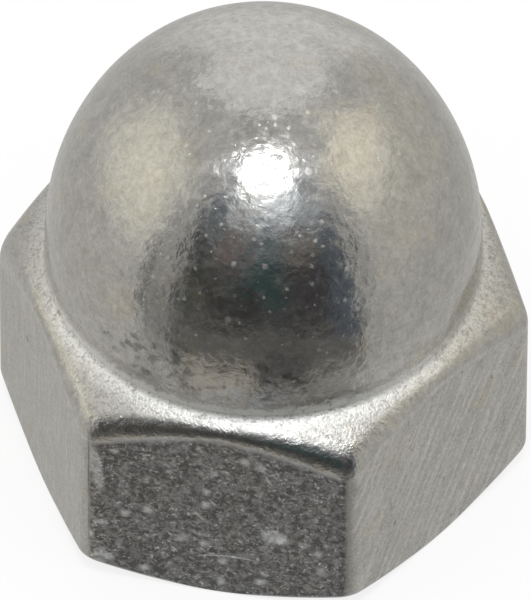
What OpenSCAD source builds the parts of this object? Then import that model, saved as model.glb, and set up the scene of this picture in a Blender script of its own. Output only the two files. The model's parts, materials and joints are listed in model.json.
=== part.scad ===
// Domed cap nut, M10 x 1.5, 16 mm across flats, made in one piece.
// It stands on its bearing face at z = 0, centred on the Z axis, with one pair of flats facing -Y and +Y.

/* [Hexagon] */
// Width across the flats, the spanner size
across_flats = 16; // [14:0.1:24]
// Height at which the top chamfer reaches the neck
hex_h = 8.5; // [6:0.1:14]
// Radius of the six upright corners
corner_r = 0.85; // [0.2:0.05:1.2]
// Radius of the rounded edge between the top chamfer and each flat
edge_r = 0.6; // [0.3:0.05:0.9]
// Slope of the top chamfer, in degrees below level
top_chamfer_angle = 30; // [20:1:35]
// Radius on which the top chamfer falls away over the corners
corner_fall_r = 2.2; // [1.5:0.1:3]
// How far outside the corners that fall would become upright
corner_fall_past = 0.1; // [0.05:0.05:0.5]
// Slope of the chamfer around the bearing face, in degrees above level
base_chamfer_angle = 30; // [15:1:35]
// Inset of the bearing face from the flats
base_inset = 0.1; // [0.05:0.05:0.6]

/* [Dome] */
// Width of the ledge between the neck and the middle of each flat
ledge = 0.6; // [0.3:0.02:1]
// Fillet radius between the ledge and the neck
neck_fillet_r = 0.25; // [0.15:0.05:0.6]
// Height of the upright neck between the hexagon and the dome
neck_h = 1; // [0.5:0.1:6]
// How much smaller the crown's radius is than the neck's
crown_less = 0.25; // [0.2:0.01:0.5]
// How much larger the flank's radius is than the neck's
flank_more = 2; // [1:0.01:6]
// Diameter of the small flat on the crown
crown_flat_d = 2.4; // [1:0.1:5]

/* [Thread hole] */
// Nominal thread diameter
thread_d = 10; // [6:0.5:12]
// Thread pitch
thread_pitch = 1.5; // [0.75:0.25:1.75]
// Solid metal between the drill point and the crown
crown_wall = 2; // [1.5:0.1:4]
// Point angle of the drill
drill_point_angle = 118; // [90:1:140]
// How much wider than the thread the mouth of the hole is
mouth_more = 0.8; // [0.2:0.1:1.2]
// Full angle of the countersink at the mouth
mouth_angle = 120; // [90:1:120]

/* [Hidden] */
$fn = 96;
metal = [0.72, 0.71, 0.69];
// Overshoot of a cutting shape past the surface it cuts
past = 1;
// A rounding crosses the surfaces it joins at this small angle, so that they meet in a clean line
meet_angle = 1.5;
// Distance from the centre of a rounding of radius r to a straight surface it joins
function reach(r) = r * cos(meet_angle);

flat_r = across_flats / 2;
neck_r = flat_r - ledge;

// The corners: the centre and the outermost point of each rounding
corner_x = (flat_r - reach(corner_r)) / cos(30);
corner_out = corner_x + corner_r;

// The ledge carries the neck's fillet and the rounded edge, and neither outgrows it
fillet_r = min(neck_fillet_r, ledge / 1.5);
rounded_r = min(edge_r, 2 * ledge - fillet_r);

// Height of the top chamfer at a radius, and how far a rounding's centre lies above or below it
function chamfer_z(r) = hex_h - (r - neck_r) * tan(top_chamfer_angle);
function off_chamfer(r) = reach(r) / cos(top_chamfer_angle);

// The dome: a crown arc on a flank arc of larger radius, on an upright neck
crown_r = neck_r - crown_less;
flank_r = neck_r + flank_more;
flank_x = neck_r - reach(flank_r);
flank_z = hex_h + neck_h;
centres_apart = sqrt(pow(flank_r, 2) + pow(crown_r, 2) - 2 * crown_r * reach(flank_r));
crown_z = flank_z + sqrt(pow(centres_apart, 2) - pow(flank_x, 2));
join_z = flank_z + (crown_z - flank_z) * flank_r / centres_apart;
height = crown_z + sqrt(pow(crown_r, 2) - pow(crown_flat_d / 2, 2));

// The hole: tapping drill, point and countersunk mouth
drill_r = (thread_d - thread_pitch) / 2;
drill_point_h = drill_r / tan(drill_point_angle / 2);
drill_h = height - crown_wall - drill_point_h;
mouth_r = (thread_d + mouth_more) / 2;
mouth_h = (mouth_r - drill_r) / tan(mouth_angle / 2);

// Hexagon with corners toward +X and -X. A second hexagon cuts them off, and circles round them
module hexagon_outline() {
    intersection() {
        circle(flat_r / cos(30), $fn = 6);
        union() {
            rotate(30) circle((corner_x + corner_r * cos(30)) / cos(30), $fn = 6);
            for (a = [0 : 60 : 300]) rotate(a) translate([corner_x, 0]) circle(corner_r);
        }
    }
}

// Section across one pair of flats. It rounds their top edges and leaves the flats alone
module edge_section() {
    x = flat_r - reach(rounded_r);
    z = chamfer_z(x) - off_chamfer(rounded_r);
    for (side = [0, 1]) mirror([side, 0]) {
        square([flat_r + past, z]);
        square([x + rounded_r * sin(top_chamfer_angle), height]);
        translate([x, z]) circle(rounded_r);
    }
}

// Half section of the turned hexagon: base chamfer, top chamfer and its fall over the corners
module hexagon_section() {
    base_r = flat_r - base_inset;
    out = corner_out + past;
    x = corner_out + corner_fall_past - corner_fall_r;
    z = chamfer_z(x) - off_chamfer(corner_fall_r);
    intersection() {
        polygon([
            [0, 0], [base_r, 0], [out, (out - base_r) * tan(base_chamfer_angle)],
            [out, chamfer_z(out)], [neck_r, hex_h], [0, hex_h]
        ]);
        union() {
            square([x + corner_fall_r * sin(top_chamfer_angle), height]);
            square([out, z]);
            translate([x, z]) circle(corner_fall_r);
        }
    }
}

// Half section of the neck, the dome and the flat on its crown
module dome_section() {
    intersection() {
        square([neck_r, height]);
        union() {
            square([neck_r, flank_z]);
            translate([flank_x, flank_z]) circle(flank_r);
        }
        union() {
            square([neck_r, join_z]);
            translate([0, crown_z]) circle(crown_r);
        }
    }
}

// Half section of the metal that fills the corner between ledge and neck
module fillet_section() {
    x = neck_r + reach(fillet_r);
    z = chamfer_z(x) + off_chamfer(fillet_r);
    foot = x - fillet_r * sin(top_chamfer_angle);
    difference() {
        polygon([[0, 0], [foot, chamfer_z(foot)], [x, z], [0, z]]);
        translate([x, z]) circle(fillet_r);
    }
}

module thread_hole() {
    translate([0, 0, -past]) cylinder(r = drill_r, h = past + drill_h);
    translate([0, 0, drill_h]) cylinder(r1 = drill_r, r2 = 0, h = drill_point_h);
    cylinder(r1 = mouth_r, r2 = drill_r, h = mouth_h);
}

module cap_nut() {
    color(metal) difference() {
        intersection() {
            linear_extrude(height) hexagon_outline();
            rotate_extrude() {
                hexagon_section();
                dome_section();
                fillet_section();
            }
            intersection_for (a = [30, 90, 150]) rotate([90, 0, a])
                linear_extrude(3 * across_flats, center = true) edge_section();
        }
        thread_hole();
    }
}

cap_nut();
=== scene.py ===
import json
import math

import bpy
import numpy as np
from bpy.props import FloatProperty, FloatVectorProperty, PointerProperty
from mathutils import Matrix, Vector


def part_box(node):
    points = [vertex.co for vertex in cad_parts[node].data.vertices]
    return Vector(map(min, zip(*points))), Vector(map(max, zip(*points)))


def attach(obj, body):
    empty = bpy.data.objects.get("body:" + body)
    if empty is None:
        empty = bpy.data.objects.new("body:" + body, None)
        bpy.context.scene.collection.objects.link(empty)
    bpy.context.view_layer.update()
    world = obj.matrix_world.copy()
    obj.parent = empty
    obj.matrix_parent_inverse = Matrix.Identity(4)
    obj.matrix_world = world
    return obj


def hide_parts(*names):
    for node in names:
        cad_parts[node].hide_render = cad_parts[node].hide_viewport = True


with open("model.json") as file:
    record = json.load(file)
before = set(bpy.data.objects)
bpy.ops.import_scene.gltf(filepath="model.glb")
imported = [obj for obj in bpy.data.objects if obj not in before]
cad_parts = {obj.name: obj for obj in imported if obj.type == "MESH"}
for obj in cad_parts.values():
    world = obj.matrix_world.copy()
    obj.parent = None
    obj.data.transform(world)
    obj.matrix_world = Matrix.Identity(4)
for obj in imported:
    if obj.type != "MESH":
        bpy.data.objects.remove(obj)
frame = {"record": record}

bl_info = {
    "name": "Cap Nut",
    "version": (1, 0, 0),
    "blender": (4, 5, 0),
    "location": "View3D > Sidebar > Cap Nut",
    "description": "Makes a nickel-plated domed cap nut with a real thread, and a studio to show it in",
    "category": "Add Mesh",
}

MM = 0.001
NODE = "cap_nut"
LOW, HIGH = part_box(NODE)
THREAD_MOUNT = next(m for m in frame["record"]["mounts"] if m["name"] == "thread")
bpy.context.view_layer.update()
SIXTH = math.pi / 3
COS_30 = math.cos(math.pi / 6)

# Shape of the mesh: its directions round the axis, the reach of the worn corner's wear to either side, and
# the small curves at the base
COLUMNS = 360
CORNER_SHARE = 0.2
CORNER_HALF = math.radians(2.8)
WORN_HALF = 0.3
RIM_SETBACK = 0.12 * MM
BASE_SETBACK = 0.04 * MM
WELD_STEP = 1e-8
SHARP_ANGLE = math.radians(38)

# Turn from the X axis of the two flats that are ground most, and lean of the grinding strokes on them
FLAT_TURN = math.radians(60)
STROKE_LEAN = math.radians(31)

# Tints of the plating, as multiples of its colour, and the brightest that a speck may be. The bright tint
# also paints the highlights on the ledge and the neck and the glints of the blisters
WARM_TINT = (1.03, 1.0, 0.94)
BRIGHT_TINT = (1.72, 1.75, 1.80)
BRIGHTEST = 0.95

# The studio
TENT_RADIUS = 250 * MM
TENT_GREY = (0.60, 0.595, 0.575)
FLOOR_HALF = 3.0
FLOOR_GAP = 0.02 * MM
LAMP_WIDTH, LAMP_DEPTH = 64 * MM, 42 * MM
LAMP_TURN, LAMP_RISE = math.radians(1), math.radians(71)
LAMP_DISTANCE = 200 * MM
CAMERA_TARGET = Vector((0.179, -0.533, 6.712)) * MM


# Sizes and colours that a user may change


def length(name, description, default):
    """A size in metres, shown in the scene's units."""
    return FloatProperty(name=name, description=description, default=default, min=0.0, precision=5,
                         subtype="DISTANCE", unit="LENGTH")


def angle(name, description, degrees):
    """An angle, kept in radians and shown in degrees."""
    return FloatProperty(name=name, description=description, default=math.radians(degrees),
                         subtype="ANGLE", unit="ROTATION")


def share(name, description, default):
    """A number from 0 to 1."""
    return FloatProperty(name=name, description=description, default=default, min=0.0, max=1.0,
                         subtype="FACTOR")


def colour(name, description, default):
    """A linear colour."""
    return FloatVectorProperty(name=name, description=description, default=default, size=3,
                               min=0.0, max=1.0, subtype="COLOR")


class NutSizes(bpy.types.PropertyGroup):
    """The nut's sizes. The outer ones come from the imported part."""

    across_flats: length("Across flats", "Spanner size", HIGH.y - LOW.y)
    across_corners: length("Across corners", "Width over the rounded corners", HIGH.x - LOW.x)
    height: length("Height", "Height over all", HIGH.z - LOW.z)
    hexagon_height: length("Hexagon height", "Height at which the ledge meets the neck", 8.5 * MM)
    chamfer: angle("Chamfer angle", "Slope of the ledge and of the base chamfer", 30)
    edge_middle: length("Edge at flats", "Setback of the rounded edge in the middle of a flat", 0.29 * MM)
    edge_corner: length("Edge at corners", "Setback of the rounded edge at a corner", 0.78 * MM)
    worn_corner: length("Worn corner", "Extra wear at the corner on the left", 0.45 * MM)
    base_inset: length("Base inset", "Inset of the bearing face from the flats", 0.1 * MM)
    ledge: length("Ledge", "Width of the ledge at the middle of a flat", 0.60 * MM)
    neck_fillet: length("Neck fillet", "Radius of the fillet where the dome meets the ledge", 0.25 * MM)
    neck_height: length("Neck height", "Height of the upright neck", 1.0 * MM)
    crown_less: length("Crown less", "How much smaller the crown's radius is than the neck's", 0.25 * MM)
    flank_more: length("Flank more", "How much larger the flank's radius is than the neck's", 2.0 * MM)
    crown_blend: length("Crown blend", "Radius between the crown's flat and the dome", 0.8 * MM)
    thread_diameter: length("Thread diameter", "Nominal thread diameter", 10 * MM)
    thread_pitch: length("Thread pitch", "Rise of the thread in one turn", 1.5 * MM)
    drill_radius: length("Drill radius", "Radius of the tapping drill", THREAD_MOUNT["dims"]["r_mm"] * MM)
    drill_depth: length("Drill depth", "Depth of the drilled wall", 13.05 * MM)
    drill_point: angle("Drill point", "Full angle of the drill's point", 118)
    full_thread: length("Full thread", "Depth of the full thread", 10.5 * MM)
    thread_runout: length("Thread run-out", "Length over which the thread fades", 1.6 * MM)
    mouth_radius: length("Mouth radius", "Radius of the countersink at the bearing face", 5.4 * MM)
    mouth_angle: angle("Mouth angle", "Full angle of the countersink", 120)


class NutFinish(bpy.types.PropertyGroup):
    """The nut's colours and finish."""

    nickel: colour("Nickel", "Colour of the plating", (0.53, 0.52, 0.5))
    grime: colour("Grime", "Colour of the dirt in the pits", (0.15, 0.145, 0.135))
    dome_roughness: share("Dome roughness", "Roughness of the polished dome", 0.14)
    ledge_roughness: share("Ledge roughness", "Roughness of the grainy ledge", 0.43)
    flat_roughness: share("Flat roughness", "Roughness of the wrench flats", 0.34)


class StudioSettings(bpy.types.PropertyGroup):
    """The camera and the light."""

    azimuth: angle("Azimuth", "Turn of the camera round the nut", 10.9)
    elevation: angle("Elevation", "Height of the camera above the horizon", 48.8)
    roll: angle("Roll", "Tilt of the camera", 0.26)
    distance: length("Distance", "Distance of the camera", 750 * MM)
    frame_height: length("Frame height", "Height of the picture at the nut", 20.313 * MM)
    lamp: FloatProperty(name="Lamp", description="Power of the soft box in watts", default=0.122, min=0.0)
    surround: FloatProperty(name="Surround", description="Strength of the white surround", default=0.85,
                            min=0.0)


# The section of the nut, worked out for every direction round the axis at once


def directions(count, corner_share, corner_half):
    """Angles round the axis, closed at a full turn, denser over the six corners.

    Each sixth of a turn starts on a corner. corner_share of its steps lie within corner_half of a corner,
    and the rest are spread evenly over the flat between.
    """
    steps = count // 6
    near = int(steps * corner_share / 2)
    edge = np.linspace(0, corner_half, near + 1)
    middle = np.linspace(corner_half, SIXTH - corner_half, steps - 2 * near + 1)
    sixth = np.concatenate([edge[:-1], middle, SIXTH - edge[:-1][::-1]])[:-1]
    turns = np.arange(6)[:, None] * SIXTH
    return np.append((sixth + turns).ravel(), 2 * math.pi)


def from_corner(theta):
    """How far each direction is from the nearest corner."""
    return np.abs((theta + SIXTH / 2) % SIXTH - SIXTH / 2)


def hexagon_radius(theta, flat, corner):
    """Distance from the axis to a hexagon with round corners.

    In the direction theta it is flat / cos(angle from the flat's normal), and near a corner it is the far
    side of the corner's circle.
    """
    centre = (flat - corner) / COS_30
    off = from_corner(theta)
    tangent = math.atan2(corner * 0.5, centre + corner * COS_30)
    straight = flat / np.cos(math.pi / 6 - off)
    under = np.maximum(corner**2 - (centre * np.sin(off)) ** 2, 0)
    return np.where(off < tangent, centre * np.cos(off) + np.sqrt(under), straight)


class Section:
    """Stretches of the nut's outline, from the crown down, each an array of points by directions."""

    def __init__(self, theta):
        self.theta = theta
        self.radius, self.height, self.share, self.zone = [], [], [], []

    def add(self, zone, radius, height):
        """Adds a stretch. Its first point repeats the last one of the stretch before it."""
        shape = (max(np.shape(radius)[0], np.shape(height)[0]), len(self.theta))
        first = 1 if self.radius else 0
        self.radius.append(np.broadcast_to(radius, shape)[first:])
        self.height.append(np.broadcast_to(height, shape)[first:])
        self.share += list(np.linspace(0, 1, shape[0])[first:])
        self.zone += [zone] * (shape[0] - first)

    def line(self, zone, count, start, end):
        """A straight stretch between two points, each (radius, height)."""
        t = np.linspace(0, 1, count + 1)[:, None]
        self.add(zone, start[0] + (end[0] - start[0]) * t, start[1] + (end[1] - start[1]) * t)

    def arc(self, zone, count, centre, radius, start, end):
        """Part of a circle, from one angle above the horizon to another."""
        a = np.linspace(start, end, count + 1)[:, None]
        self.add(zone, centre[0] + radius * np.cos(a), centre[1] + radius * np.sin(a))

    def bend(self, zone, count, before, corner, after, setback):
        """A round corner: a curve from one straight line to the next, which starts setback from the corner.

        It is a rational quadratic curve with the corner as its middle control point, which is a true arc.
        """
        before, corner, after = (
            np.stack(np.broadcast_arrays(*point, self.theta)[:2]) for point in (before, corner, after)
        )
        into = (before - corner) / np.linalg.norm(before - corner, axis=0)
        out = (after - corner) / np.linalg.norm(after - corner, axis=0)
        weight = np.sqrt((1 - (into * out).sum(0)) / 2)
        t = np.linspace(0, 1, count + 1)[:, None]
        parts = (1 - t) ** 2, 2 * weight * t * (1 - t), t**2
        points = (corner + into * setback, corner, corner + out * setback)
        curve = sum(p[:, None] * part for p, part in zip(points, parts)) / sum(parts)
        self.add(zone, curve[0], curve[1])

    def grid(self):
        """Radius and height of every point, and each row's zone and how far down its stretch it is."""
        return (np.concatenate(self.radius), np.concatenate(self.height), np.array(self.zone),
                np.array(self.share))


def outside(section, s):
    """The outer skin, from the middle of the crown down to the mouth of the hole."""
    theta = section.theta
    flat, neck = s.across_flats / 2, s.across_flats / 2 - s.ledge
    corner = (s.across_corners / 2 * COS_30 - flat) / (COS_30 - 1)
    side = hexagon_radius(theta, flat, corner)
    crown, flank = neck - s.crown_less, neck + s.flank_more
    flank_z = s.hexagon_height + s.neck_height
    crown_z = flank_z + math.sqrt((flank - crown) ** 2 - s.flank_more**2)
    join = math.atan2(crown_z - flank_z, s.flank_more)
    blend_z = s.height - s.crown_blend
    blend = math.sqrt((crown - s.crown_blend) ** 2 - (blend_z - crown_z) ** 2)
    blend_end = math.atan2(blend_z - crown_z, blend)
    up = math.pi / 2
    section.line("crown", 8, (0, s.height), (blend, s.height))
    section.arc("crown", 8, (blend, blend_z), s.crown_blend, up, blend_end)
    section.arc("dome", 44, (0, crown_z), crown, blend_end, join)
    section.arc("dome", 14, (-s.flank_more, flank_z), flank, join, 0)

    fall, level, drop = math.tan(s.chamfer), math.cos(s.chamfer), math.sin(s.chamfer)
    fillet = (neck + s.neck_fillet, s.hexagon_height + s.neck_fillet * (1 / level - fall))
    section.line("neck", 3, (neck, flank_z), (neck, fillet[1]))
    section.arc("ledge", 6, fillet, s.neck_fillet, math.pi, math.pi + up - s.chamfer)
    foot = (fillet[0] - s.neck_fillet * drop, fillet[1] - s.neck_fillet * level)

    edge = (side, s.hexagon_height - (side - neck) * fall)
    # the rounded edge grows from the middle of a flat to its corners, and is worn at the corner on the left
    cornerness = (side - flat) / (s.across_corners / 2 - flat)
    setback = s.edge_middle + (s.edge_corner - s.edge_middle) * (np.sqrt(cornerness + 0.002) - 0.045)
    setback = setback + s.worn_corner * np.exp(-(((theta - math.pi) / WORN_HALF) ** 2)) * cornerness
    base = flat - s.base_inset
    lower = (side, (side - base) * fall)
    into = (edge[0] - setback * level, edge[1] + setback * drop)
    section.line("ledge", 6, foot, into)
    section.bend("edge", 20, foot, edge, lower, setback)
    small = np.minimum(RIM_SETBACK, 0.4 * (side - base))
    section.line("flat", 34, (side, edge[1] - setback), (side, lower[1] + small))
    section.bend("rim", 4, edge, lower, (base, 0 * side), small)
    section.line("rim", 3, (side - small * level, lower[1] - small * drop),
                 (base + BASE_SETBACK * level, BASE_SETBACK * drop))
    section.bend("rim", 3, lower, (base, 0 * side), (s.mouth_radius, 0 * side), BASE_SETBACK)
    section.line("base", 10, (base - BASE_SETBACK, 0), (s.mouth_radius, 0))


def inside(section, s):
    """The countersink, the thread and the drill's point, up to the tip of the hole.

    Rows climb with the direction, one pitch in a turn, so that the thread's crests and roots are clean
    lines. The radius is the countersink's where that is wider, else the thread's profile, which is never
    under the drill's radius and fades out over the run-out.
    """
    mouth_fall = 1 / math.tan(s.mouth_angle / 2)
    pitch, end = s.thread_pitch, s.full_thread + s.thread_runout
    groove = s.thread_diameter / 2 - s.drill_radius
    slope = math.tan(math.pi / 6)
    flank, root = groove * slope, pitch / 8
    per_turn = np.array([0, root, root + flank / 3, root + flank * 2 / 3, root + flank,
                         pitch - flank, pitch - flank * 2 / 3, pitch - flank / 3])
    per_turn = per_turn - root / 2
    turns = math.ceil(end / pitch) + 1
    rise = (np.arange(-1, turns)[:, None] * pitch + per_turn).ravel()
    climb = section.theta / (2 * math.pi) * pitch
    z = np.clip(rise[:, None] + climb, 0, end)
    phase = (z - climb) / pitch
    from_root = np.abs(phase - np.round(phase)) * pitch
    depth = np.clip(groove - (from_root - root / 2) / slope, 0, groove)
    fade = np.clip((end - z) / s.thread_runout, 0, 1)
    radius = np.maximum(s.drill_radius + np.minimum(depth, groove * fade), s.mouth_radius - z / mouth_fall)
    section.add("thread", radius, z)
    section.line("thread", 2, (s.drill_radius, end), (s.drill_radius, s.drill_depth))
    tip = s.drill_depth + s.drill_radius / math.tan(s.drill_point / 2)
    section.line("thread", 8, (s.drill_radius, s.drill_depth), (0, tip))


def smooth_step(low, high, x):
    """0 up to low, 1 from high, and an S between."""
    t = np.clip((x - low) / (high - low), 0, 1)
    return t * t * (3 - 2 * t)


def weld(points, faces):
    """Joins points that round to the same WELD_STEP, and drops the triangles that this closes up.

    Returns the first of each set of joined points, and the triangles that are left.
    """
    steps = np.round(points / WELD_STEP).astype(np.int64)
    _, first, same = np.unique(steps, axis=0, return_index=True, return_inverse=True)
    faces = same.reshape(-1)[faces]
    a, b, c = faces.T
    return first, faces[(a != b) & (b != c) & (c != a)]


def surface(name, points, values, second, materials):
    """A closed mesh from a grid of points (rows, columns, 3).

    Every cell of the grid is two triangles. values are (rows, columns) arrays that become attributes, and
    second says which rows have the second material.
    """
    rows, columns = points.shape[:2]
    index = np.arange(rows * columns).reshape(rows, columns)
    a, b, c, d = index[:-1, :-1], index[1:, :-1], index[1:, 1:], index[:-1, 1:]
    faces = np.stack([np.stack([a, b, c], -1), np.stack([a, c, d], -1)], 2).reshape(-1, 3)
    first, welded = weld(points.reshape(-1, 3), faces)
    mesh = bpy.data.meshes.new(name)
    mesh.vertices.add(len(first))
    mesh.vertices.foreach_set("co", points.reshape(-1, 3)[first].ravel())
    mesh.loops.add(welded.size)
    mesh.loops.foreach_set("vertex_index", welded.ravel())
    mesh.polygons.add(len(welded))
    mesh.polygons.foreach_set("loop_start", np.arange(0, welded.size, 3))
    mesh.update(calc_edges=True)
    mesh.polygons.foreach_set("use_smooth", np.ones(len(welded), bool))
    for key, value in values.items():
        layer = mesh.attributes.new(key, "FLOAT", "POINT")
        layer.data.foreach_set("value", np.ascontiguousarray(value.reshape(-1)[first], dtype=np.float32))
    for material in materials:
        mesh.materials.append(material)
    second = np.repeat(second, columns)[first]
    mesh.polygons.foreach_set("material_index", second[welded].all(1).astype(np.int32))
    mesh.set_sharp_from_angle(angle=SHARP_ANGLE)
    mesh.validate()
    made = bpy.data.objects.new(name, mesh)
    bpy.context.scene.collection.objects.link(made)
    return made


def nut_surface(s, materials):
    """The whole nut as one closed surface: the section carried round the axis."""
    theta = directions(COLUMNS, CORNER_SHARE, CORNER_HALF)
    section = Section(theta)
    outside(section, s)
    inside(section, s)
    radius, height, zone, share = section.grid()
    points = np.stack([radius * np.cos(theta), radius * np.sin(theta), height], -1)

    def rows(*names):
        return np.isin(zone, names).astype(float)[:, None] * np.ones(len(theta))

    # how much each flat is ground and pitted, starting between +X and +Y and going round to the left
    ground, pitted = np.array((0.4, 0, 0.8, 0, 0, 1)), np.array((0, 0.3, 0, 0, 1, 0))
    side = np.minimum(theta // SIXTH, 5).astype(int)
    inner = smooth_step(math.radians(0.5), math.radians(1.5), from_corner(theta))
    edge_end = rows("edge") * smooth_step(0.8, 1, share[:, None])
    values = {
        "ledge": rows("ledge", "edge"),
        "edge": rows("flat") + rows("edge") * share[:, None],
        "neck": rows("neck", "dome"),
        "flat": rows("flat"),
        "rim": rows("rim"),
        "base": rows("base"),
        "ground": rows("flat") * ground[side],
        "pitted": (rows("flat") + edge_end) * pitted[side] * inner,
    }
    return surface("plated_nut", points, values, zone == "thread", materials)


# Materials


class Nodes:
    """Short ways to add nodes and links to one node tree."""

    def __init__(self, tree):
        self.tree = tree

    def add(self, kind, inputs=None, **settings):
        """A node with its settings, and its inputs linked or set by name or number."""
        node = self.tree.nodes.new(kind)
        for key, value in settings.items():
            setattr(node, key, value)
        for key, value in (inputs or {}).items():
            self.put(node.inputs[key], value)
        return node

    def put(self, socket, value):
        """Links a socket to another, or sets its value."""
        if isinstance(value, bpy.types.NodeSocket):
            self.tree.links.new(value, socket)
        else:
            socket.default_value = value

    def math(self, operation, a, b=0.0, clamp=False):
        """One step of arithmetic."""
        return self.add("ShaderNodeMath", {0: a, 1: b}, operation=operation, use_clamp=clamp).outputs[0]

    def times(self, *values):
        """A product."""
        total = values[0]
        for value in values[1:]:
            total = self.math("MULTIPLY", total, value)
        return total

    def sum(self, *values):
        """A sum."""
        total = values[0]
        for value in values[1:]:
            total = self.math("ADD", total, value)
        return total

    def weighted(self, *pairs):
        """A sum of values, each times its own weight."""
        return self.sum(*[self.times(value, weight) for value, weight in pairs])

    def most(self, *values):
        """The largest of some values."""
        total = values[0]
        for value in values[1:]:
            total = self.math("MAXIMUM", total, value)
        return total

    def mix(self, factor, a, b):
        """A number between a and b."""
        return self.add("ShaderNodeMix", {"Factor": factor, "A": a, "B": b}, data_type="FLOAT").outputs[0]

    def mix_colour(self, factor, a, b):
        """A colour between a and b."""
        node = self.add("ShaderNodeMix", data_type="RGBA")
        self.put(node.inputs[0], factor)
        self.put(node.inputs[6], a)
        self.put(node.inputs[7], b)
        return node.outputs[2]

    def ramp(self, value, low, high, start=0.0, end=1.0):
        """A smooth step from start at low to end at high."""
        inputs = {"Value": value, "From Min": low, "From Max": high, "To Min": start, "To Max": end}
        return self.add("ShaderNodeMapRange", inputs, interpolation_type="SMOOTHSTEP").outputs[0]

    def attribute(self, name):
        """One of the mesh's own values."""
        return self.add("ShaderNodeAttribute", attribute_name=name).outputs["Fac"]

    def place(self, tree, **inputs):
        """A copy of a group, with its inputs set by name."""
        node = self.add("ShaderNodeGroup", node_tree=tree)
        for key, value in inputs.items():
            self.put(node.inputs[key], value)
        return node.outputs


def new_group(name, inputs, outputs):
    """An empty shader group with named sockets, and its input and output nodes."""
    tree = bpy.data.node_groups.new(name, "ShaderNodeTree")
    for label, default in inputs.items():
        vector = default is None or isinstance(default, tuple)
        kind = "NodeSocketVector" if vector else "NodeSocketFloat"
        socket = tree.interface.new_socket(label, in_out="INPUT", socket_type=kind)
        if default is not None:
            socket.default_value = default
    for label in outputs:
        tree.interface.new_socket(label, in_out="OUTPUT", socket_type="NodeSocketFloat")
    nodes = Nodes(tree)
    return tree, nodes, nodes.add("NodeGroupInput").outputs, nodes.add("NodeGroupOutput").inputs


def grain_group():
    """Even random grain of a given size in millimetres, from about -0.3 to 0.3, with mean 0."""
    tree, n, given, put = new_group("Grain", {"Vector": None, "Size": 0.2, "Detail": 2.0, "Swirl": 0.0},
                                    ["Height"])
    noise = n.add("ShaderNodeTexNoise", {
        "Vector": given["Vector"],
        "Scale": n.math("DIVIDE", 1.0, given["Size"]),
        "Detail": given["Detail"],
        "Distortion": given["Swirl"],
    })
    n.put(put["Height"], n.math("SUBTRACT", noise.outputs[0], 0.5))
    return tree


def specks_group():
    """Scattered round specks: cells of a given spacing, some empty, the others with a speck each."""
    inputs = {"Vector": None, "Spacing": 0.5, "Size": 0.1, "Amount": 0.3}
    tree, n, given, put = new_group("Specks", inputs, ["Mask"])
    scale = n.math("DIVIDE", 1.0, given["Spacing"])
    cells = n.add("ShaderNodeTexVoronoi", {"Vector": given["Vector"], "Scale": scale})
    random = n.add("ShaderNodeSeparateColor", {"Color": cells.outputs["Color"]})
    present = n.math("LESS_THAN", random.outputs[0], given["Amount"])
    reach = n.times(given["Size"], scale, n.ramp(random.outputs[1], 0.0, 1.0, 0.4, 1.0))
    speck = n.ramp(n.math("DIVIDE", cells.outputs["Distance"], reach), 1.0, 0.0)
    n.put(put["Mask"], n.times(speck, present))
    return tree


def mark_group():
    """One mark: a soft ellipsoid at a place, turned, and bent along its own X. Noise moves its edge by Rag.

    Inside it the vector is measured in the mark's half sizes, so its edge lies at a length of 1.
    """
    inputs = {"Vector": None, "Noise": 0.0, "Place": (0, 0, 0), "Size": (1, 1, 1), "Turn": (0, 0, 0),
              "Bend": 0.0, "Rag": 0.3}
    tree, n, given, put = new_group("Mark", inputs, ["Mask"])
    local = n.add("ShaderNodeMapping", {
        "Vector": given["Vector"],
        "Location": given["Place"],
        "Rotation": given["Turn"],
        "Scale": given["Size"],
    }, vector_type="TEXTURE")
    part = n.add("ShaderNodeSeparateXYZ", {"Vector": local.outputs[0]}).outputs
    bent = n.sum(part[2], n.times(part[0], part[0], given["Bend"]))
    bent = n.add("ShaderNodeCombineXYZ", {0: part[0], 1: part[1], 2: bent}).outputs[0]
    reach = n.add("ShaderNodeVectorMath", {0: bent}, operation="LENGTH").outputs["Value"]
    n.put(put["Mask"], n.ramp(n.sum(reach, n.times(given["Noise"], given["Rag"], 4.0)), 1.1, 0.7))
    return tree


def start_material(name):
    """A new metal material: itself, its node helper, its shader and a vector in millimetres."""
    material = bpy.data.materials.new(name)
    material.use_nodes = True
    n = Nodes(material.node_tree)
    shader = material.node_tree.nodes["Principled BSDF"]
    shader.inputs["Metallic"].default_value = 1.0
    place = n.add("ShaderNodeTexCoord").outputs["Object"]
    vector = n.add("ShaderNodeMapping", {"Vector": place, "Scale": (1 / MM,) * 3}).outputs[0]
    return material, n, shader, vector


def bump(n, height):
    """Turns a height in millimetres into a normal."""
    return n.add("ShaderNodeBump", {"Strength": 1.0, "Distance": MM, "Height": height}).outputs["Normal"]


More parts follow.
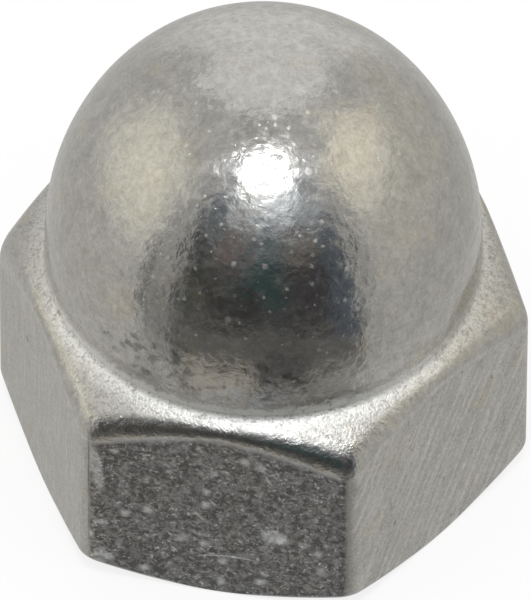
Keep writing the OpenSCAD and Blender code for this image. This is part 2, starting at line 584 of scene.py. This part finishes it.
# Pale marks on the flats, and dark marks anywhere on the plating, each with its place and half size in
# millimetres, turn in degrees, bend, raggedness and strength
PALE_MARKS = (
    ((1.93, -8.0, 3.33), (0.45, 0.5, 0.42), 0, 0, 0.20, 0.80),
    ((0.34, -8.0, 1.97), (1.25, 0.3, 0.035), 3.5, 0.12, 0.05, 0.75),
    ((-4.02, -8.0, 2.77), (0.30, 0.3, 0.13), 0, 0, 0.25, 0.60),
    ((-3.52, -8.0, 6.53), (0.16, 0.3, 0.11), 0, 0, 0.20, 0.60),
    ((-0.11, -8.0, 6.13), (0.20, 0.3, 0.13), 20, 0, 0.25, 0.55),
    ((1.75, -8.0, 6.18), (0.07, 0.3, 0.27), 25, 0, 0.10, 0.60),
    ((1.51, -8.0, 5.45), (0.05, 0.3, 0.22), -20, 0, 0.10, 0.50),
    ((-4.18, -8.0, 5.55), (0.26, 0.4, 1.10), 8, 0, 0.30, 0.80),
    ((-4.10, -8.0, 0.95), (0.30, 0.4, 0.60), -25, 0, 0.30, 0.55),
    ((-0.60, -8.0, 2.95), (0.40, 0.3, 0.14), -10, 0, 0.35, 0.35),
    ((2.95, -8.0, 3.10), (0.18, 0.3, 0.16), 0, 0, 0.25, 0.45),
)
DARK_MARKS = (
    ((-1.02, -4.50, 16.03), (0.26, 0.2, 0.045), 29, 0, 0.10, 0.60),
    ((2.51, -8.0, 5.82), (0.24, 0.3, 0.03), 0, 0, 0.05, 0.55),
    ((-4.44, -7.92, 5.60), (0.028, 0.2, 1.50), 0, 0, 0.06, 0.60),
    ((-4.44, -7.92, 2.60), (0.024, 0.2, 1.30), 0, 0, 0.06, 0.50),
    ((-7.573, -2.883, 5.62), (0.12, 0.12, 0.16), 0, 0, 0.10, 0.70),
    ((5.728, -6.078, 2.72), (0.08, 0.08, 0.09), 0, 0, 0.10, 0.70),
    ((7.435, -3.123, 7.53), (0.07, 0.07, 0.07), 0, 0, 0.10, 0.65),
    ((8.210, -1.779, 5.94), (0.07, 0.07, 0.08), 0, 0, 0.10, 0.60),
)


class Plating:
    """What the layers of the plating share: the mesh's values, grain of several sizes, and marks."""

    def __init__(self, n, vector, groups):
        self.n, self.vector, self.groups = n, vector, groups
        self.ledge, self.flat = n.attribute("ledge"), n.attribute("flat")
        self.pitted, self.ground = n.attribute("pitted"), n.attribute("ground")
        self.base, self.rim = n.attribute("base"), n.attribute("rim")
        self.edge, self.neck = n.attribute("edge"), n.attribute("neck")
        self.broad, self.mottle = self.noise(1.6), self.noise(0.7, 4.0)
        self.cloud, self.soft = self.noise(0.42, 3.0, 1.0), self.noise(0.22, 3.0, 0.6)
        self.fine = self.noise(0.085, 3.0)
        warp = [n.times(each, 0.14) for each in (self.soft, self.noise(0.16), self.noise(0.12))]
        warp = n.add("ShaderNodeCombineXYZ", dict(enumerate(warp))).outputs[0]
        self.warped = n.add("ShaderNodeVectorMath", {0: vector, 1: warp}, operation="ADD").outputs[0]
        self.parts = n.add("ShaderNodeSeparateXYZ", {"Vector": vector}).outputs
        across = n.sum(n.times(self.parts[0], self.parts[0]), n.times(self.parts[1], self.parts[1]))
        self.radius = n.math("POWER", across, 0.5)
        self.ragged = self.noise(0.11)
        self.pale, self.dark = self.marks(PALE_MARKS), self.marks(DARK_MARKS)

    def noise(self, size, detail=2.0, swirl=0.0, place=None):
        """Even grain of a size in millimetres."""
        given = {"Vector": place or self.vector, "Size": size, "Detail": detail, "Swirl": swirl}
        return self.n.place(self.groups["grain"], **given)["Height"]

    def dots(self, spacing, size, amount, place=None):
        """Scattered specks, a little out of round."""
        given = {"Vector": place or self.warped, "Spacing": spacing, "Size": size, "Amount": amount}
        return self.n.place(self.groups["specks"], **given)["Mask"]

    def mark(self, place, size, rag, turn=0.0, bend=0.0):
        """One mark, see mark_group. It turns about Y, in degrees, and bend lowers its ends."""
        given = {"Vector": self.vector, "Noise": self.ragged, "Place": place, "Size": size, "Rag": rag}
        given.update(Turn=(0, -math.radians(turn), 0), Bend=bend * size[0] ** 2 / size[2])
        return self.n.place(self.groups["mark"], **given)["Mask"]

    def marks(self, table):
        """The largest of a table's marks at each point, each to its own strength.

        Each mark is joined to those before it at once, because a shader can hold only so many values.
        """
        total = 0.0
        for place, size, turn, bend, rag, strength in table:
            mark = self.mark(place, size, rag, turn, bend)
            total = self.n.math("MAXIMUM", total, self.n.times(mark, strength))
        return total

    def stretched(self, scale, *turns):
        """The vector after some turns, one by one, and then times a scale along each axis."""
        vector = self.vector
        for turn in turns:
            vector = self.n.add("ShaderNodeMapping", {"Vector": vector, "Rotation": turn}).outputs[0]
        return self.n.add("ShaderNodeMapping", {"Vector": vector, "Scale": scale}).outputs[0]


def polished_dome(p, look):
    """Polish with hazy blister specks painted lighter as glints, dark blotches low on the front, and frost
    that reaches raggedly from the crown.

    Returns height, roughness and shade. Shade is the tone: 0 is plain plating, -1 is grime and 1 is bright.
    """
    n = p.n
    blisters_and_glints = n.most(p.dots(0.24, 0.11, 0.25), p.dots(0.52, 0.19, 0.40))
    haze = n.ramp(n.sum(p.noise(0.30, 1.5, 0.3), n.times(p.mottle, 0.5)), -0.12, 0.32)
    frost = p.mark((-0.4, 3.1, 16.9), (3.6, 3.0, 2.5), 0.35)
    frost = n.times(frost, 0.8, n.math("SUBTRACT", 1.0, n.most(p.ledge, p.flat, p.base, p.rim)))
    # darker blotches low on the front of the dome
    low_front_blotches = p.mark((-0.6, -6.9, 10.2), (4.6, 1.8, 1.15), 0.2)
    low_front_blotches = n.times(low_front_blotches, n.ramp(p.noise(0.36, 1.5, 0.3), 0.0, 0.16))
    height = n.weighted((p.mottle, 0.030), (p.cloud, 0.013), (p.soft, 0.0022), (p.fine, 0.0010),
                        (blisters_and_glints, 0.004))
    rough = n.sum(n.mix(frost, look.dome_roughness, 0.27),
                  n.weighted((p.mottle, 0.10), (haze, 0.16), (blisters_and_glints, 0.45)))
    # the blister specks are also painted lighter, as painted glints, besides their bumps and roughness
    shade = n.weighted((p.mottle, 0.40), (p.cloud, 0.60), (p.fine, 0.55), (p.soft, 0.55), (blisters_and_glints, 0.24),
                       (frost, n.sum(n.times(p.cloud, 0.3), 0.08)), (low_front_blotches, -0.55))
    return height, rough, shade


def lay_grain_and_highlight(p, look, height, rough, shade):
    """Lays grain over the ledge and the foot of the neck, with painted highlights there. The grain fades
    out on the rounded edge.
    """
    n = p.n
    up = p.parts[2]
    collar = n.ramp(n.sum(up, n.weighted((p.cloud, 1.6), (p.soft, 0.8))), 9.5, 8.75)
    collar = n.times(p.neck, collar)
    grainy = n.ramp(n.sum(p.edge, n.weighted((p.soft, 0.9), (p.fine, 0.3))), 0.30, 0.04)
    grainy = n.times(p.ledge, grainy)

    # painted highlights, standing in for the lamp's light: beside the neck, up its foot and in the seam
    # between, painted brighter towards the front where the lamp is
    front = n.ramp(p.parts[1], -2.0, -5.5, 0.35, 1.0)
    ledge_highlight = n.ramp(n.sum(p.radius, n.weighted((p.soft, 0.7), (p.cloud, 0.5))), 8.2, 7.5)
    ledge_highlight = n.times(ledge_highlight, front, n.ramp(n.sum(up, n.times(p.soft, 0.6)), 9.1, 8.6))
    glow = n.ramp(n.sum(up, n.weighted((p.cloud, 1.2), (p.soft, 1.2))), 9.3, 8.6)
    glow = n.times(p.neck, front, glow)
    seam_highlight = n.times(p.ledge, n.ramp(n.sum(p.radius, n.times(p.soft, 0.2)), 7.62, 7.48))

    over = n.mix(n.most(grainy, n.times(collar, 0.7)), height, n.weighted((p.fine, 0.022), (p.soft, 0.016)))
    waves = n.weighted((p.cloud, 0.022), (p.soft, 0.008))
    height = n.sum(over, n.times(n.math("SUBTRACT", p.ledge, grainy), waves))
    rough = n.mix(collar, rough, n.sum(look.ledge_roughness, n.times(glow, 0.25)))
    rough = n.mix(p.ledge, rough, n.sum(n.mix(grainy, 0.20, look.ledge_roughness),
                                        n.weighted((ledge_highlight, 0.10), (seam_highlight, 0.16))))
    # the tone of the grain, with the painted highlights added to it
    ledge_highlight_tone = n.sum(n.weighted((p.fine, 1.6), (p.soft, 1.5)), 0.80)
    bright = n.weighted((p.fine, 1.3), (p.soft, 1.5), (ledge_highlight, ledge_highlight_tone), (glow, 0.75), (seam_highlight, 0.15))
    return height, rough, n.mix(n.most(grainy, collar), shade, bright)


def lay_flats(p, look, height, rough, shade):
    """Lays satin, ground or pitted metal over the wrench flats, with the pale and dark marks."""
    n = p.n
    satin = p.noise(1.0, 3.0, 0.0, p.stretched((9.0, 9.0, 0.6)))
    strokes = p.stretched((4.4, 4.4, 0.36), (0.0, 0.0, -FLAT_TURN), (0.0, -STROKE_LEAN, 0.0))
    strokes = p.noise(1.0, 2.5, 0.25, strokes)
    chatter = p.noise(0.25, 3.0, 1.2)
    nicks = n.most(p.dots(0.40, 0.10, 0.40, p.stretched((1.0, 1.0, 0.35), (0.0, 0.7, 0.0))),
                   p.dots(0.36, 0.08, 0.35, p.stretched((1.0, 1.0, 0.40), (0.0, -1.1, 0.0))))
    flecks = n.most(n.ramp(p.noise(0.12, 2.0, 1.0), 0.06, 0.24), n.times(p.dots(0.31, 0.18, 0.40), 0.6),
                    p.dots(0.66, 0.30, 0.45), nicks)
    lines = n.times(n.ramp(n.math("ABSOLUTE", strokes), 0.04, 0.0),
                    n.ramp(n.sum(p.mottle, p.cloud), -0.05, 0.15))

    over = n.mix(p.ground, n.weighted((satin, 0.0012), (p.fine, 0.0016)),
                 n.weighted((strokes, 0.010), (p.fine, 0.002)))
    over = n.mix(p.pitted, over, n.weighted((chatter, 0.014), (p.soft, 0.010)))
    over = n.sum(n.times(over, n.math("SUBTRACT", 1.0, n.times(p.pale, 0.6))), n.times(p.dark, -0.01))
    height = n.mix(p.flat, height, over)
    rough = n.mix(p.flat, rough, n.sum(look.flat_roughness, n.weighted((p.mottle, 0.10), (p.pale, -0.06))))

    plain = n.weighted((satin, n.mix(p.ground, 0.75, 0.15)), (strokes, n.times(p.ground, 1.1)),
                       (lines, n.times(p.ground, -0.36)), (p.fine, 1.15), (p.soft, 0.55))
    # on the pitted flats the tone is darker all over, by 0.77, besides the chatter, cloud, flecks and pale
    # marks
    pits = n.sum(n.weighted((chatter, 2.0), (p.cloud, 1.1), (flecks, 1.25), (p.pale, 1.1)), -0.77)
    return height, rough, n.mix(p.flat, shade, n.mix(p.pitted, plain, pits))


def lay_base(p, height, rough, shade):
    """Lays turning rings over the bearing face. The rim round it is as rough as it is."""
    n = p.n
    rings = p.noise(0.09, 3.0, 0.0, n.add("ShaderNodeCombineXYZ", {0: p.radius}).outputs[0])
    height = n.mix(p.base, height, n.weighted((rings, 0.006), (p.soft, 0.004)))
    rough = n.mix(n.most(p.base, p.rim), rough, n.sum(0.34, n.times(p.mottle, 0.15)))
    return height, rough, n.mix(p.base, shade, n.weighted((rings, 0.6), (p.soft, 0.5)))


def plated_outside(look, groups):
    """Nickel plating: polish on the dome, frost on the crown, grain and painted highlights on the ledge,
    wear on the flats.
    """
    material, n, shader, vector = start_material("nickel_plating")
    plating = Plating(n, vector, groups)
    height, rough, shade = polished_dome(plating, look)
    height, rough, shade = lay_grain_and_highlight(plating, look, height, rough, shade)
    height, rough, shade = lay_flats(plating, look, height, rough, shade)
    height, rough, shade = lay_base(plating, height, rough, shade)

    nickel, grime = np.array(look.nickel), (*look.grime, 1.0)
    warm = (*(nickel * WARM_TINT), 1.0)
    bright = (*np.minimum(nickel * BRIGHT_TINT, BRIGHTEST), 1.0)
    tone = n.ramp(n.sum(plating.broad, n.times(plating.mottle, 0.6)), 0.05, 0.25)
    tone = n.mix_colour(tone, (*nickel, 1.0), warm)
    tone = n.mix_colour(n.math("MULTIPLY", shade, -1.0, clamp=True), tone, grime)
    # shade above 0 brightens towards the bright tint: brighter grain, and the painted highlights and glints
    tone = n.mix_colour(n.math("MULTIPLY", shade, 1.0, clamp=True), tone, bright)
    tone = n.mix_colour(n.times(plating.dark, 0.9), tone, grime)
    n.put(shader.inputs["Base Color"], tone)
    n.put(shader.inputs["Roughness"], rough)
    n.put(shader.inputs["Normal"], bump(n, height))
    return material


def cut_thread(look, groups):
    """The tapped hole: bright cut steel with fine tool marks round the axis."""
    material, n, shader, vector = start_material("cut_thread")
    parts = n.add("ShaderNodeSeparateXYZ", {"Vector": vector})
    rings = n.add("ShaderNodeCombineXYZ", {2: parts.outputs[2]})
    tool_marks = n.place(groups["grain"], Vector=rings.outputs[0], Size=0.06, Detail=2.0)["Height"]
    fine = n.place(groups["grain"], Vector=vector, Size=0.15, Detail=3.0)["Height"]
    height = n.weighted((tool_marks, 0.002), (fine, 0.002))
    dull = (*(np.array(look.nickel) * 0.82), 1.0)
    n.put(shader.inputs["Base Color"], n.mix_colour(n.ramp(fine, -0.1, 0.2), dull, (*look.nickel, 1.0)))
    n.put(shader.inputs["Roughness"], n.ramp(fine, -0.3, 0.3, 0.28, 0.42))
    n.put(shader.inputs["Normal"], bump(n, height))
    return material


# The studio

# Panels of the light tent, in degrees from the camera's side and above the horizon:
# left, right, low, high, softness, colour
TENT_PANELS = (
    # behind the nut, and round the top of the tent
    (153, 202, -12, 58, 9, (0.86, 0.86, 0.84)),
    (141, 219, 38, 76, 2.5, (0.92, 0.92, 0.905)),
    (135, 225, 77, 89, 2.5, (0.46, 0.455, 0.44)),
    (-62, 64, 60, 83, 5, (0.86, 0.88, 0.91)),
    # to the left
    (-125, -62, -45, -8, 10, (0.60, 0.59, 0.555)),
    (-128, -63, 0, 47, 10, (0.84, 0.83, 0.745)),
    (-112, -74, 14, 42, 12, (1.04, 1.01, 0.87)),
    # to the right
    (28, 150, -90, -8, 8, (0.615, 0.61, 0.59)),
    (58, 150, -40, -8, 8, (0.545, 0.54, 0.51)),
    (60, 150, -8, 24, 10, (0.62, 0.61, 0.55)),
    (62, 126, 24, 57, 9, (0.90, 0.87, 0.75)),
    (72, 112, 36, 54, 8, (1.14, 1.08, 0.91)),
    # beside the dark front
    (-59, -41, -34, 58, 4, (0.47, 0.465, 0.45)),
    (-59, -41, -34, -4, 5, (0.33, 0.33, 0.32)),
    (-62, -56.5, -20, 17, 1.5, (0.20, 0.20, 0.19)),
    (44, 59, -40, 52, 5, (0.50, 0.495, 0.475)),
    # the dark front, lighter upwards and downwards
    (-44, 47, -40, 46, 3.5, (0.085, 0.09, 0.092)),
    (-41, 46, 22, 62, 8, (0.22, 0.235, 0.245)),
    (-39, 47, 37, 62, 5, (0.44, 0.47, 0.50)),
    (-43, 45, -54, -13, 6, (0.165, 0.16, 0.15)),
    (-43, 48, -54, -35, 5, (0.34, 0.335, 0.315)),
    # patches of colour in it
    (-41, -27, 36, 50, 3, (0.16, 0.18, 0.205)),
    (-42, -31, 4, 30, 3, (0.065, 0.067, 0.072)),
    (-26, -12, 16, 40, 4, (0.20, 0.165, 0.155)),
    (-8, 10, 20, 36, 5, (0.15, 0.18, 0.19)),
    (13, 28, 20, 38, 4, (0.21, 0.185, 0.17)),
    (-11, 10, 0, 21, 4, (0.045, 0.085, 0.082)),
    (12, 33, -14, 17, 4, (0.070, 0.066, 0.068)),
    (-36, -29, -4, 5, 2.5, (0.14, 0.135, 0.09)),
    (-28, 0, -8, 5, 3, (0.060, 0.058, 0.056)),
    (34, 46, -22, 34, 4, (0.115, 0.135, 0.165)),
    (-38, -6, -50, -32, 4, (0.52, 0.49, 0.43)),
    (-3, 22, -44, -20, 4, (0.115, 0.115, 0.113)),
    # under the front, which the wrench flats see
    (-36, 11, -120, -47, 3, (0.40, 0.43, 0.49)),
    (-67, -52, -58, -38, 4, (0.42, 0.42, 0.405)),
    # the glow under the lamp
    (-22, 34, 50, 72, 6, (0.95, 1.00, 1.04)),
    (-12, 22, 47, 66, 5, (1.15, 1.22, 1.28)),
    (-20, -8, 44, 53, 3, (0.62, 0.62, 0.60)),
)


def tent_glow(azimuth, elevation):
    """Colour of the light tent in each direction, in degrees from the camera's side and above the horizon.

    Soft-edged panels are laid over a grey tent one by one, each hiding what is under it.
    """
    glow = np.ones(azimuth.shape + (3,)) * np.array(TENT_GREY)
    for left, right, low, high, edge, tone in TENT_PANELS:
        turned = (azimuth - (left + right) / 2 + 180) % 360 - 180
        across = smooth_step(-edge, edge, (right - left) / 2 - np.abs(turned))
        up = smooth_step(-edge, edge, (high - low) / 2 - np.abs(elevation - (low + high) / 2))
        cover = (across * up)[..., None]
        glow = glow * (1 - cover) + np.array(tone) * cover
    return glow


def light_tent(camera_azimuth, centre, radius):
    """A sphere round the nut that only its reflections see. Its colour is an attribute, see tent_glow."""
    rows, columns = 180, 360
    elevation = np.linspace(90, -90, rows + 1)[:, None] * np.ones(columns + 1)
    azimuth = np.linspace(0, 360, columns + 1) * np.ones((rows + 1, 1))
    up, turn = np.radians(elevation), np.radians(azimuth)
    points = np.stack([np.cos(up) * np.sin(turn), -np.cos(up) * np.cos(turn), np.sin(up)], -1) * radius
    glow = tent_glow(azimuth - math.degrees(camera_azimuth), elevation)
    material = bpy.data.materials.new("tent_cloth")
    material.use_nodes = True
    n = Nodes(material.node_tree)
    n.tree.nodes.remove(n.tree.nodes["Principled BSDF"])
    cloth = n.add("ShaderNodeCombineColor", {i: n.attribute(f"glow_{c}") for i, c in enumerate("rgb")})
    light = n.add("ShaderNodeEmission", {"Color": cloth.outputs[0], "Strength": 1.0})
    n.put(n.tree.nodes["Material Output"].inputs["Surface"], light.outputs[0])
    values = {f"glow_{c}": glow[..., i] for i, c in enumerate("rgb")}
    tent = surface("light_tent", points + np.array(centre), values, np.zeros(rows + 1, bool), [material])
    tent.visible_camera = tent.visible_diffuse = tent.visible_shadow = tent.visible_transmission = False
    material.cycles.emission_sampling = "NONE"
    return tent


def floor_plane():
    """A pale floor just under the nut. It is clear from below, so that the underside can be seen."""
    corners = np.array([[-1, -1, 0], [1, -1, 0], [1, 1, 0], [-1, 1, 0]]) * FLOOR_HALF - (0, 0, FLOOR_GAP)
    mesh = bpy.data.meshes.new("floor")
    mesh.from_pydata(corners.tolist(), [], [(0, 1, 2, 3)])
    floor = bpy.data.objects.new("floor", mesh)
    bpy.context.scene.collection.objects.link(floor)
    material = bpy.data.materials.new("pale_floor")
    material.use_nodes = True
    n = Nodes(material.node_tree)
    shader = n.tree.nodes["Principled BSDF"]
    shader.inputs["Base Color"].default_value = (0.95, 0.95, 0.95, 1.0)
    shader.inputs["Roughness"].default_value = 0.9
    clear = n.add("ShaderNodeBsdfTransparent")
    below = n.add("ShaderNodeNewGeometry").outputs["Backfacing"]
    white = n.add("ShaderNodeEmission", {"Color": (1.0, 1.0, 1.0, 1.0), "Strength": 1.0})
    seen = n.times(n.add("ShaderNodeLightPath").outputs["Is Camera Ray"], 0.80)
    pale = n.add("ShaderNodeMixShader", {0: seen, 1: shader.outputs[0], 2: white.outputs[0]})
    both = n.add("ShaderNodeMixShader", {0: below, 1: pale.outputs[0], 2: clear.outputs[0]})
    n.put(n.tree.nodes["Material Output"].inputs["Surface"], both.outputs[0])
    mesh.materials.append(material)
    floor.visible_glossy = False
    return floor


def aim(obj, place, target, roll=0.0):
    """Puts an object at a place, looking at a target along its own -Z."""
    back = (Vector(place) - Vector(target)).normalized()
    turn = back.to_track_quat("Z", "Y").to_matrix().to_4x4()
    obj.matrix_world = Matrix.Translation(place) @ turn @ Matrix.Rotation(roll, 4, "Z")


def around(azimuth, elevation, distance):
    """A point at a distance. Azimuth 0 is towards -Y and 90 degrees is towards +X."""
    flat = math.cos(elevation) * distance
    return Vector((math.sin(azimuth) * flat, -math.cos(azimuth) * flat, math.sin(elevation) * distance))


# Operators


class MESH_OT_cap_nut(bpy.types.Operator):
    """Makes the nut and its materials, in place of the plain CAD node"""

    bl_idname = "mesh.cap_nut"
    bl_label = "Cap Nut"
    bl_options = {"REGISTER", "UNDO"}

    def execute(self, context):
        look = context.scene.cap_nut_finish
        groups = {"grain": grain_group(), "specks": specks_group(), "mark": mark_group()}
        materials = [plated_outside(look, groups), cut_thread(look, groups)]
        nut = nut_surface(context.scene.cap_nut_sizes, materials)
        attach(nut, "root")
        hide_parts(NODE)
        return {"FINISHED"}


class SCENE_OT_cap_nut_studio(bpy.types.Operator):
    """Makes the floor, the light tent, the lamp, the surround and the camera"""

    bl_idname = "scene.cap_nut_studio"
    bl_label = "Studio"
    bl_options = {"REGISTER", "UNDO"}

    def execute(self, context):
        scene, sizes = context.scene, context.scene.cap_nut_sizes
        studio = scene.cap_nut_studio
        middle = Vector((0, 0, sizes.height / 2))
        tent = light_tent(studio.azimuth, middle, TENT_RADIUS)
        floor = floor_plane()

        lamp_data = bpy.data.lights.new("soft_box", "AREA")
        lamp_data.shape = "RECTANGLE"
        lamp_data.size, lamp_data.size_y = LAMP_WIDTH, LAMP_DEPTH
        lamp_data.energy = studio.lamp
        lamp = bpy.data.objects.new("soft_box", lamp_data)
        scene.collection.objects.link(lamp)
        place = middle + around(studio.azimuth + LAMP_TURN, LAMP_RISE, LAMP_DISTANCE)
        aim(lamp, place, middle)
        lamp.visible_camera = False

        world = bpy.data.worlds.new("white_surround")
        scene.world = world
        world.use_nodes = True
        n = Nodes(world.node_tree)
        path = n.add("ShaderNodeLightPath").outputs
        seen = n.most(path["Is Camera Ray"], path["Is Glossy Ray"], path["Is Transmission Ray"])
        back = n.tree.nodes["Background"]
        back.inputs["Color"].default_value = (1.0, 1.0, 1.0, 1.0)
        n.put(back.inputs["Strength"], n.mix(seen, studio.surround, 1.0))
        world.cycles.sampling_method = "NONE"

        camera_data = bpy.data.cameras.new("camera")
        camera_data.lens = studio.distance * camera_data.sensor_width / studio.frame_height
        camera = bpy.data.objects.new("camera", camera_data)
        scene.collection.objects.link(camera)
        place = CAMERA_TARGET + around(studio.azimuth, studio.elevation, studio.distance)
        aim(camera, place, CAMERA_TARGET, studio.roll)
        scene.camera = camera
        scene.view_settings.view_transform = "Standard"
        return {"FINISHED"}


class VIEW3D_PT_cap_nut(bpy.types.Panel):
    """Lists the nut's sizes, its finish and the studio, with the buttons that make them"""

    bl_idname = "VIEW3D_PT_cap_nut"
    bl_label = "Cap Nut"
    bl_space_type = "VIEW_3D"
    bl_region_type = "UI"
    bl_category = "Cap Nut"

    def draw(self, context):
        scene = context.scene
        for settings, operator in (
            (scene.cap_nut_sizes, None),
            (scene.cap_nut_finish, MESH_OT_cap_nut.bl_idname),
            (scene.cap_nut_studio, SCENE_OT_cap_nut_studio.bl_idname),
        ):
            column = self.layout.column(align=True)
            for key in settings.__annotations__:
                column.prop(settings, key)
            if operator:
                self.layout.operator(operator)


CLASSES = (NutSizes, NutFinish, StudioSettings, MESH_OT_cap_nut, SCENE_OT_cap_nut_studio, VIEW3D_PT_cap_nut)


def register():
    """Adds the classes and the settings that they keep in the scene."""
    for c in CLASSES:
        bpy.utils.register_class(c)
    bpy.types.Scene.cap_nut_sizes = PointerProperty(type=NutSizes)
    bpy.types.Scene.cap_nut_finish = PointerProperty(type=NutFinish)
    bpy.types.Scene.cap_nut_studio = PointerProperty(type=StudioSettings)


def unregister():
    """Removes what register added."""
    del bpy.types.Scene.cap_nut_studio
    del bpy.types.Scene.cap_nut_finish
    del bpy.types.Scene.cap_nut_sizes
    for c in reversed(CLASSES):
        bpy.utils.unregister_class(c)


def main():
    """Makes everything."""
    register()
    bpy.ops.mesh.cap_nut()
    bpy.ops.scene.cap_nut_studio()


if __name__ == "__main__":
    main()
